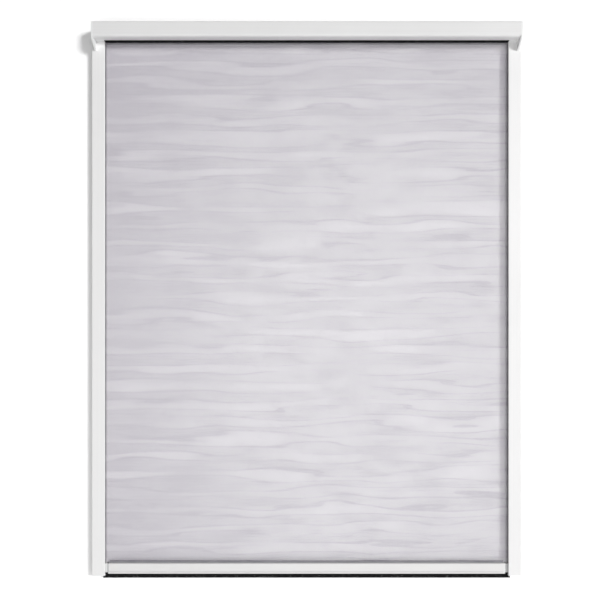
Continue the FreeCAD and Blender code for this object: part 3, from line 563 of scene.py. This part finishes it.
# Finishes of the CAD nodes that are shown as they are
finishes = {
    "cassette_housing": levelPaint,
    "left_guide_rail": railPaint,
    "right_guide_rail": railPaint,
    "pull_bar": barPaint,
    "left_end_cap": capPlastic,
    "right_end_cap": capPlastic,
    "left_rail_foot": capPlastic,
    "right_rail_foot": capPlastic,
    "left_bar_glider": capPlastic,
    "right_bar_glider": capPlastic,
    "roller_tube": millTube,
    "spring_shaft": zincSteel,
    "torsion_spring": zincSteel,
    "idle_pin": zincSteel,
    "tube_spline": softVinyl,
    "clamp_strip": softVinyl,
    "bearing_plug": hubPlastic,
    "drive_plug": hubPlastic,
    "idle_plug": hubPlastic,
}
for nodeName, finish in finishes.items():
    for materialSlot in nodes[nodeName].material_slots:
        materialSlot.material = finish
print("finishes given to", len(finishes), "nodes")


# Mesh code shared by the pieces
def makePiece(name, points, faces, materials, faceMaterials=None, smooth=False):
    data = bpy.data.meshes.new(name)
    data.from_pydata([tuple(p) for p in points], [], [tuple(f) for f in faces])
    for material in materials:
        data.materials.append(material)
    if faceMaterials is not None:
        data.polygons.foreach_set("material_index", faceMaterials)
    data.polygons.foreach_set("use_smooth", [smooth] * len(data.polygons))
    data.update()
    piece = bpy.data.objects.new(name, data)
    bpy.context.scene.collection.objects.link(piece)
    return piece


boxFaces = np.array([(0, 3, 2, 1), (4, 5, 6, 7), (0, 1, 5, 4), (1, 2, 6, 5), (2, 3, 7, 6), (3, 0, 4, 7)])


def boxesFrom(lows, highs):
    lows, highs = np.asarray(lows, float), np.asarray(highs, float)
    corners = [(0, 0, 0), (1, 0, 0), (1, 1, 0), (0, 1, 0), (0, 0, 1), (1, 0, 1), (1, 1, 1), (0, 1, 1)]
    pick = np.array(corners, float)
    points = lows[:, None, :] + (highs - lows)[:, None, :] * pick[None, :, :]
    faces = boxFaces[None, :, :] + (np.arange(len(lows)) * 8)[:, None, None]
    return points.reshape(-1, 3), faces.reshape(-1, 4)


# Insect mesh: upright yarns in front, level yarns welded behind them
screen = {
    "pitch": 0.0014,
    "yarnWide": 0.00026,
    "yarnDeep": 0.00025,
    "wander": 0.00003,
    "barRise": 1.205,
    "seed": 11,
}


def weaveScreen():
    low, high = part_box("insect_mesh")
    dice = np.random.default_rng(screen["seed"])
    half = screen["yarnWide"] / 2

    def spread(start, end):
        count = int((end - start - 2 * half) / screen["pitch"]) + 1
        spots = np.linspace(start + half, end - half, count)
        spots[1:-1] += dice.uniform(-screen["wander"], screen["wander"], count - 2)
        return spots

    acrossSpots = spread(low.x, high.x)
    upSpots = spread(low.z, high.z)
    lows = [(x - half, low.y, low.z) for x in acrossSpots]
    highs = [(x + half, low.y + screen["yarnDeep"], high.z) for x in acrossSpots]
    lows += [(low.x, high.y - screen["yarnDeep"], z - half) for z in upSpots]
    highs += [(high.x, high.y, z + half) for z in upSpots]
    points, faces = boxesFrom(lows, highs)
    cloth = makePiece("woven_screen", points, faces, [meshYarn])
    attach(cloth, "frame")
    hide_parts("insect_mesh")
    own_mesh(cloth)


weaveScreen()
print("insect mesh woven")

# Turns of mesh left on the tube
roll = {
    "inner": 0.00853,
    "outer": 0.00897,
    "thick": 0.00016,
    "turns": 2,
    "stepsPerTurn": 48,
}


def windRoll():
    low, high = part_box("wound_mesh")
    middleY, middleZ = (low.y + high.y) / 2, (low.z + high.z) / 2
    steps = roll["turns"] * roll["stepsPerTurn"]
    points = []
    for x in (low.x, high.x):
        for i in range(steps + 1):
            turn = 2 * math.pi * roll["turns"] * i / steps
            centre = roll["inner"] + (roll["outer"] - roll["inner"]) * i / steps
            for side in (-0.5, 0.5):
                radius = centre + side * roll["thick"] / 2
                points.append((x, middleY + radius * math.cos(turn), middleZ + radius * math.sin(turn)))
    ring = 2 * (steps + 1)
    faces = []
    for i in range(steps):
        a, b, c, d = 2 * i, 2 * i + 1, 2 * i + 2, 2 * i + 3
        faces.append((a, b, d, c))
        faces.append((ring + a, ring + c, ring + d, ring + b))
        faces.append((a, c, ring + c, ring + a))
        faces.append((b, ring + b, ring + d, d))
    first, last = (0, 1), (2 * steps, 2 * steps + 1)
    faces.append((first[0], ring + first[0], ring + first[1], first[1]))
    faces.append((last[0], last[1], ring + last[1], ring + last[0]))
    wound = makePiece("mesh_turns", points, faces, [meshYarn], smooth=True)
    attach(wound, "roller")
    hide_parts("wound_mesh")


windRoll()
print("mesh wound on the tube")

# Pile strips: woven backing and thousands of bristles
pileStrip = {
    "backingThick": 0.0009,
    "ribWide": 0.0005,
    "webShare": 0.7,  # thickness between the ribs, as a share of the backing's
    "rootShare": 0.6,  # where a bristle starts in the backing
    "pileThick": 0.0024,
    "rootRadius": 0.00015,
    "tipRadius": 0.0001,
    "splay": 0.00016,
    "rowWander": 0.00008,
    "runWander": 0.3,  # share of the spacing
    "tailClear": 0.0008,
    "tailGap": 0.0002,
    "seed": 5,
}


def bristleField(spots, outward, starts, ends, dice):
    count = len(spots)
    outward = np.array(outward, float)
    sideA = np.array([1.0, 0, 0]) if outward[0] == 0 else np.array([0, 1.0, 0])
    sideB = np.cross(outward, sideA)
    turn = dice.uniform(0, 2 * math.pi, count)
    lean = dice.normal(0, pileStrip["splay"], (count, 2))
    points = np.zeros((count, 6, 3))
    for k in range(3):
        angle = turn + k * 2 * math.pi / 3
        ringA = np.cos(angle)[:, None] * sideA + np.sin(angle)[:, None] * sideB
        points[:, k] = spots + outward * starts[:, None] + ringA * pileStrip["rootRadius"]
        tips = spots + outward * ends[:, None] + lean[:, :1] * sideA + lean[:, 1:] * sideB
        points[:, 3 + k] = tips + ringA * pileStrip["tipRadius"]
    base = (np.arange(count) * 6)[:, None]
    quads = [base + np.array([k, (k + 1) % 3, 3 + (k + 1) % 3, 3 + k]) for k in range(3)]
    caps = [base + np.array([2, 1, 0]), base + np.array([3, 4, 5])]
    faces = np.concatenate(quads).tolist() + np.concatenate(caps).tolist()
    return points.reshape(-1, 3), faces


def layPile(name, nodeName, body, strip):
    low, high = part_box(nodeName)
    low, high = np.array(low), np.array(high)
    out = strip["out"]  # the axis that the pile points along, and its sign
    axis, sign = "xyz".index(out[1]), 1 if out[0] == "+" else -1
    run = "xyz".index(strip["run"])
    across = 3 - axis - run
    dice = np.random.default_rng(pileStrip["seed"] + strip["seed"])
    middle = (low[across] + high[across]) / 2
    root = low[axis] if sign > 0 else high[axis]
    reach = high[axis] - low[axis]
    thick = pileStrip["backingThick"]
    points, faces, kinds = [], [], []

    # backing, with a low rib on each long edge as the weaving leaves it
    width = high[across] - low[across]
    start, end = strip.get("backing", (low[run], high[run]))
    half, rib, web = width / 2, pileStrip["ribWide"], thick * pileStrip["webShare"]
    profile = [(-half, 0), (half, 0), (half, thick), (half - rib, thick), (half - rib, web),
               (-half + rib, web), (-half + rib, thick), (-half, thick)]
    for spot in (start, end):
        for off, up in profile:
            point = [0.0, 0.0, 0.0]
            point[run] = spot
            point[across] = middle + off
            point[axis] = root + sign * up
            points.append(point)
    n = len(profile)
    for i in range(n):
        j = (i + 1) % n
        faces.append((i, j, n + j, n + i))
    faces.append((0, *range(n - 1, 0, -1)))
    faces.append(tuple(range(n, 2 * n)))
    kinds += [0] * len(faces)

    # tails of backing that carry the pile past the ends of the bar
    if "tail" in strip:
        tail = strip["tail"]
        for sideSign in (-1, 1):
            inner, outer = sorted((sideSign * tail["inner"], sideSign * high[run]))
            lowCorner, highCorner = [0.0] * 3, [0.0] * 3
            lowCorner[run], highCorner[run] = inner, outer
            lowCorner[across], highCorner[across] = middle - tail["half"], middle + tail["half"]
            lowCorner[axis], highCorner[axis] = tail["from"], tail["to"]
            more, moreFaces = boxesFrom([lowCorner], [highCorner])
            faces += (moreFaces + len(points)).tolist()
            kinds += [0] * len(moreFaces)
            points += more.tolist()

    # bristles
    count = int((high[run] - low[run]) / strip["spacing"])
    rows = strip["rows"]
    edge = pileStrip["rootRadius"] + pileStrip["splay"]
    lanes = np.linspace(-1, 1, rows) * (strip.get("thick", pileStrip["pileThick"]) / 2 - edge)
    runs = np.linspace(low[run] + edge * 2, high[run] - edge * 2, count)
    spots = np.zeros((count * rows, 3))
    wander = pileStrip["runWander"]
    spots[:, run] = np.repeat(runs, rows) + dice.uniform(-wander, wander, count * rows) * strip["spacing"]
    offLane = dice.uniform(-1, 1, count * rows) * pileStrip["rowWander"]
    spots[:, across] = middle + np.tile(lanes, count) + offLane
    spots[:, axis] = root
    starts = np.full(count * rows, thick * pileStrip["rootShare"])
    if "tail" in strip:
        beyond = np.abs(spots[:, run]) > strip["tail"]["inner"] + pileStrip["tailClear"]
        starts[beyond] = abs(strip["tail"]["to"] - root) + pileStrip["tailGap"]
    ends = np.full(count * rows, reach) - np.abs(dice.normal(0, strip["ragged"], count * rows))
    ends = np.maximum(ends, reach - 4 * strip["ragged"])
    outward = np.zeros(3)
    outward[axis] = sign
    more, moreFaces = bristleField(spots, outward, starts, ends, dice)

    # pile that rests against the mesh sags towards its tips; the drop also hangs its black lower, partly
    # standing for the shade that the housing casts on the mesh
    sagIntoShade = strip.get("sagIntoShade", 0.0)
    more[:, 2] -= sagIntoShade * np.clip(np.abs(more[:, axis] - root) / reach, 0, 1)
    low[2] -= sagIntoShade
    shift = len(points)
    faces = [tuple(f) for f in faces] + [tuple(v + shift for v in f) for f in moreFaces]
    kinds += [1] * len(moreFaces)
    points = np.vstack([np.array(points), more])
    points = np.clip(points, low, high)
    pile = makePiece(name, points, faces, [pileBacking, blackFibre], kinds)
    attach(pile, body)
    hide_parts(nodeName)
    print(name, "laid with", count * rows, "bristles")


barLow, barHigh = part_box("pull_bar")
layPile("bar_pile", "bar_brush", "bar", {
    "out": "-z",
    "run": "x",
    "spacing": 0.00028,
    "rows": 6,
    "ragged": 0.0003,
    "seed": 1,
    "backing": (barLow.x + 0.0002, barHigh.x - 0.0002),
    "tail": {"inner": barHigh.x, "half": 0.001, "from": 0.0122, "to": 0.0128},
})
layPile("slot_pile", "slot_brush", "frame", {
    "out": "+y",
    "run": "x",
    "spacing": 0.0003,
    "rows": 6,
    # The slot's pile is a real black brush, spread over a taller band and drooped so its black also partly
    # stands for the shade under the housing.
    "thick": 0.0038,
    "sagIntoShade": 0.0024,
    "ragged": 0.00025,
    "seed": 2,
})
guidePiles = [
    ("left_front_pile", "left_front_brush", "+y", 3),
    ("left_back_pile", "left_back_brush", "-y", 4),
    ("right_front_pile", "right_front_brush", "+y", 5),
    ("right_back_pile", "right_back_brush", "-y", 6),
]
for pileName, nodeName, out, seed in guidePiles:
    layPile(pileName, nodeName, "frame", {
        "out": out,
        "run": "z",
        "spacing": 0.0006,
        "rows": 3,
        "ragged": 0.0002,
        "seed": seed,
    })

# Cap screws with flat round heads, a cross recess and a rolled thread
capScrew = {
    "headRadius": 0.0031,
    "headThick": 0.0018,
    "edge": 0.0002,
    "shankRadius": 0.00145,
    "threadRoot": 0.0011,
    "threadFrom": 0.003,
    "tipLong": 0.0016,
    "long": 0.016,
    "crossLong": 0.0017,
    "crossWide": 0.00042,
    "crossDeep": 0.0011,
    "crossTaper": 0.45,
    "sides": 32,
    "threads": 11,
    "seed": 4,
}


def turnScrew():
    shank, root, head = capScrew["shankRadius"], capScrew["threadRoot"], capScrew["headRadius"]
    thick, edge, taper = capScrew["headThick"], capScrew["edge"], capScrew["crossTaper"]
    profile = [(0.0, head - edge), (edge, head), (thick, head), (thick, shank)]
    threadStart, threadEnd = capScrew["threadFrom"], capScrew["long"] - capScrew["tipLong"]
    step = (threadEnd - threadStart) / capScrew["threads"]
    for i in range(capScrew["threads"]):
        profile.append((threadStart + i * step, root))
        profile.append((threadStart + (i + 0.5) * step, shank))
    profile.append((threadEnd, root))
    profile.append((capScrew["long"] - edge, edge))
    points, faces = [], []
    sides = capScrew["sides"]
    for along, radius in profile:
        for k in range(sides):
            angle = 2 * math.pi * k / sides
            points.append((along, radius * math.cos(angle), radius * math.sin(angle)))
    for i in range(len(profile) - 1):
        for k in range(sides):
            a, b = i * sides + k, i * sides + (k + 1) % sides
            faces.append((a, a + sides, b + sides, b))
    faces.append(tuple((len(profile) - 1) * sides + k for k in range(sides)))

    # the face of the head: a cross recess sunk into it
    long, wide, deep = capScrew["crossLong"], capScrew["crossWide"], capScrew["crossDeep"]
    cross = [(wide, wide), (wide, long), (-wide, long), (-wide, wide), (-long, wide), (-long, -wide),
             (-wide, -wide), (-wide, -long), (wide, -long), (wide, -wide), (long, -wide), (long, wide)]
    start = len(points)
    points += [(0.0, y, z) for y, z in cross]
    points += [(deep, y * taper, z * taper) for y, z in cross]
    n = len(cross)
    for k in range(n):
        j = (k + 1) % n
        faces.append((start + k, start + n + k, start + n + j, start + j))
    faces.append(tuple(start + n + k for k in range(n)))
    return points, faces, start, cross, sides


def bridgeFace(cross, start, sides):
    # joins the head's rim to the cross with triangles, walking both loops by angle
    rim = [(2 * math.pi * k / sides, k) for k in range(sides)]
    inner = sorted(((math.atan2(z, y) % (2 * math.pi)), start + k) for k, (y, z) in enumerate(cross))
    triangles = []
    i = j = 0
    while i < len(rim) or j < len(inner):
        rimNow, innerNow = rim[i % len(rim)][1], inner[j % len(inner)][1]
        nextRim = rim[i + 1][0] if i + 1 < len(rim) else 2 * math.pi + rim[0][0]
        nextInner = inner[j + 1][0] if j + 1 < len(inner) else 2 * math.pi + inner[0][0]
        if j >= len(inner) or (i < len(rim) and nextRim <= nextInner):
            triangles.append((rimNow, rim[(i + 1) % len(rim)][1], innerNow))
            i += 1
        else:
            triangles.append((rimNow, inner[(j + 1) % len(inner)][1], innerNow))
            j += 1
    return triangles


def fitScrews():
    low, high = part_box("cap_screws")
    head = capScrew["headRadius"]
    middleY = (low.y + high.y) / 2
    points, faces, start, cross, sides = turnScrew()
    faces = faces + bridgeFace(cross, start, sides)
    allPoints, allFaces = [], []
    turnBy = random.Random(capScrew["seed"])
    for side in (-1, 1):
        for z in (low.z + head, high.z - head):
            base = len(allPoints)
            spin = turnBy.uniform(0, math.pi / 2)
            for x, y, up in points:
                rotatedY = y * math.cos(spin) - up * math.sin(spin)
                rotatedZ = y * math.sin(spin) + up * math.cos(spin)
                outer = low.x if side < 0 else high.x
                allPoints.append((outer - side * x, middleY + rotatedY, z + rotatedZ))
            for face in faces:
                turned = [base + v for v in face]
                allFaces.append(tuple(turned if side < 0 else turned[::-1]))
    screws = makePiece("cap_screw_set", allPoints, allFaces, [zincSteel])
    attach(screws, "frame")
    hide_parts("cap_screws")


fitScrews()
print("cap screws fitted")

# Wall behind the screen, open where the housing and rails stand flat on it, and a pale floor
stageSet = {
    "wallY": 0.0225,
    "wallHalf": 4.0,
    "wallTop": 4.0,
    "floorZ": -0.35,
    "floorFront": -6.0,
    "inset": 0.002,
    "wallTone": (0.7, 0.7, 0.7, 1),
    "wallSeen": (1.26, 1.26, 1.26, 1),
    "floorGlow": 0.42,
}


# Plaster that sends light on as a grey and is seen as white. A glow lights the screen softly, as the
# floor does from below, and no camera sees it. From behind, the wall is clear.
def plasterMaterial(name, glow):
    material = bpy.data.materials.new(name)
    material.use_nodes = True
    tree = material.node_tree
    tree.nodes.clear()
    end = put(tree, "ShaderNodeOutputMaterial", (4, 0))
    where = put(tree, "ShaderNodeTexCoord", (-5, 0))
    plaster = put(tree, "ShaderNodeTexNoise", (-4, 0), {"Scale": 180.0, "Detail": 3.0})
    relief = put(tree, "ShaderNodeBump", (-3, 1), {"Strength": 0.08, "Distance": 0.0005})
    wall = put(tree, "ShaderNodeBsdfDiffuse", (-1, 0), {"Color": stageSet["wallTone"]})
    seen = put(tree, "ShaderNodeBsdfDiffuse", (-1, 1), {"Color": stageSet["wallSeen"]})
    ray, anyRay = seenRays(tree, (-2, 4))
    side = put(tree, "ShaderNodeNewGeometry", (-2, 6))
    lift = put(tree, "ShaderNodeEmission", (-1, 2), {"Strength": glow})
    lifted = put(tree, "ShaderNodeAddShader", (0, 0))
    choose = put(tree, "ShaderNodeMixShader", (1, 0))
    behind = put(tree, "ShaderNodeMath", (0, 6), operation="MULTIPLY")
    clear = put(tree, "ShaderNodeBsdfTransparent", (1, 2))
    final = put(tree, "ShaderNodeMixShader", (3, 0))
    wire(
        tree,
        (where.outputs["Object"], plaster.inputs["Vector"]),
        (plaster.outputs["Fac"], relief.inputs["Height"]),
        (relief.outputs["Normal"], wall.inputs["Normal"]),
        (anyRay, choose.inputs[0]),
        (wall.outputs[0], lifted.inputs[0]),
        (lift.outputs[0], lifted.inputs[1]),
        (lifted.outputs[0], choose.inputs[1]),
        (seen.outputs[0], choose.inputs[2]),
        (ray.outputs["Is Camera Ray"], behind.inputs[0]),
        (side.outputs["Backfacing"], behind.inputs[1]),
        (behind.outputs[0], final.inputs[0]),
        (choose.outputs[0], final.inputs[1]),
        (clear.outputs[0], final.inputs[2]),
        (final.outputs[0], end.inputs["Surface"]),
    )
    return material


def makeStage():
    # the wall as a grid of panels, less the ones that the screen covers
    railLow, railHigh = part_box("left_guide_rail")
    boxLow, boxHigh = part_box("cassette_housing")
    inset = stageSet["inset"]
    columns = [-stageSet["wallHalf"], railLow.x + inset, railHigh.x - inset,
               -railHigh.x + inset, -railLow.x - inset, stageSet["wallHalf"]]
    levels = [stageSet["floorZ"], railLow.z + inset, railHigh.z - inset,
              boxLow.z + inset, boxHigh.z - inset, stageSet["wallTop"]]
    points = [(x, stageSet["wallY"], z) for z in levels for x in columns]
    faces = []
    wide = len(columns)
    for row in range(len(levels) - 1):
        for column in range(wide - 1):
            isRail = row == 1 and column in (1, 3)
            isHead = row == 3 and column in (1, 2, 3)
            if not (isRail or isHead):
                a = row * wide + column
                faces.append((a, a + 1, a + wide + 1, a + wide))
    wallPiece = makePiece("wall", points, faces, [plasterMaterial("pale wall", 0.0)])
    half, floorZ = stageSet["wallHalf"], stageSet["floorZ"]
    floorPoints = [(-half, stageSet["floorFront"], floorZ), (half, stageSet["floorFront"], floorZ),
                   (half, stageSet["wallY"], floorZ), (-half, stageSet["wallY"], floorZ)]
    floorMaterial = plasterMaterial("pale floor", stageSet["floorGlow"])
    floorPiece = makePiece("floor", floorPoints, [(0, 1, 2, 3)], [floorMaterial])


makeStage()
print("stage built")

# Soft studio light: one soft box far to the right, a weak one low in front, one behind for the backs,
# and a weak even surround
lamps = {
    "key": {"place": (11.4, -12.0, 4.75), "aim": (0.0, 0.0, 0.65), "size": 4.2, "power": 2120.0},
    "fill": {"place": (0.2, -2.2, -0.1), "aim": (0.0, 0.0, 1.0), "size": 1.6, "power": 14.0},
    "rear": {"place": (2.0, 4.0, 1.6), "aim": (0.0, 0.0, 0.65), "size": 2.0, "power": 110.0},
}
surround = {"tone": (1, 1, 1, 1), "strength": 0.045}


def softBox(name, lamp):
    light = bpy.data.lights.new(name, "AREA")
    light.shape = "SQUARE"
    light.size = lamp["size"]
    light.energy = lamp["power"]
    holder = bpy.data.objects.new(name, light)
    holder.location = lamp["place"]
    holder.rotation_euler = (Vector(lamp["aim"]) - Vector(lamp["place"])).to_track_quat("-Z", "Y").to_euler()
    bpy.context.scene.collection.objects.link(holder)


for lampName, lamp in lamps.items():
    softBox(lampName, lamp)

world = bpy.data.worlds.new("even surround")
world.use_nodes = True
bpy.context.scene.world = world
sky = world.node_tree
sky.nodes.clear()
skyEnd = put(sky, "ShaderNodeOutputWorld", (4, 0))
even = put(sky, "ShaderNodeBackground", (0, 0), {"Color": surround["tone"], "Strength": surround["strength"]})
white = put(sky, "ShaderNodeBackground", (0, 1), {"Color": surround["tone"], "Strength": 1.0})
_, skyAny = seenRays(sky, (-3, 0))
skyMix = put(sky, "ShaderNodeMixShader", (2, 0))
wire(
    sky,
    (skyAny, skyMix.inputs[0]),
    (even.outputs[0], skyMix.inputs[1]),
    (white.outputs[0], skyMix.inputs[2]),
    (skyMix.outputs[0], skyEnd.inputs["Surface"]),
)
print("light set")
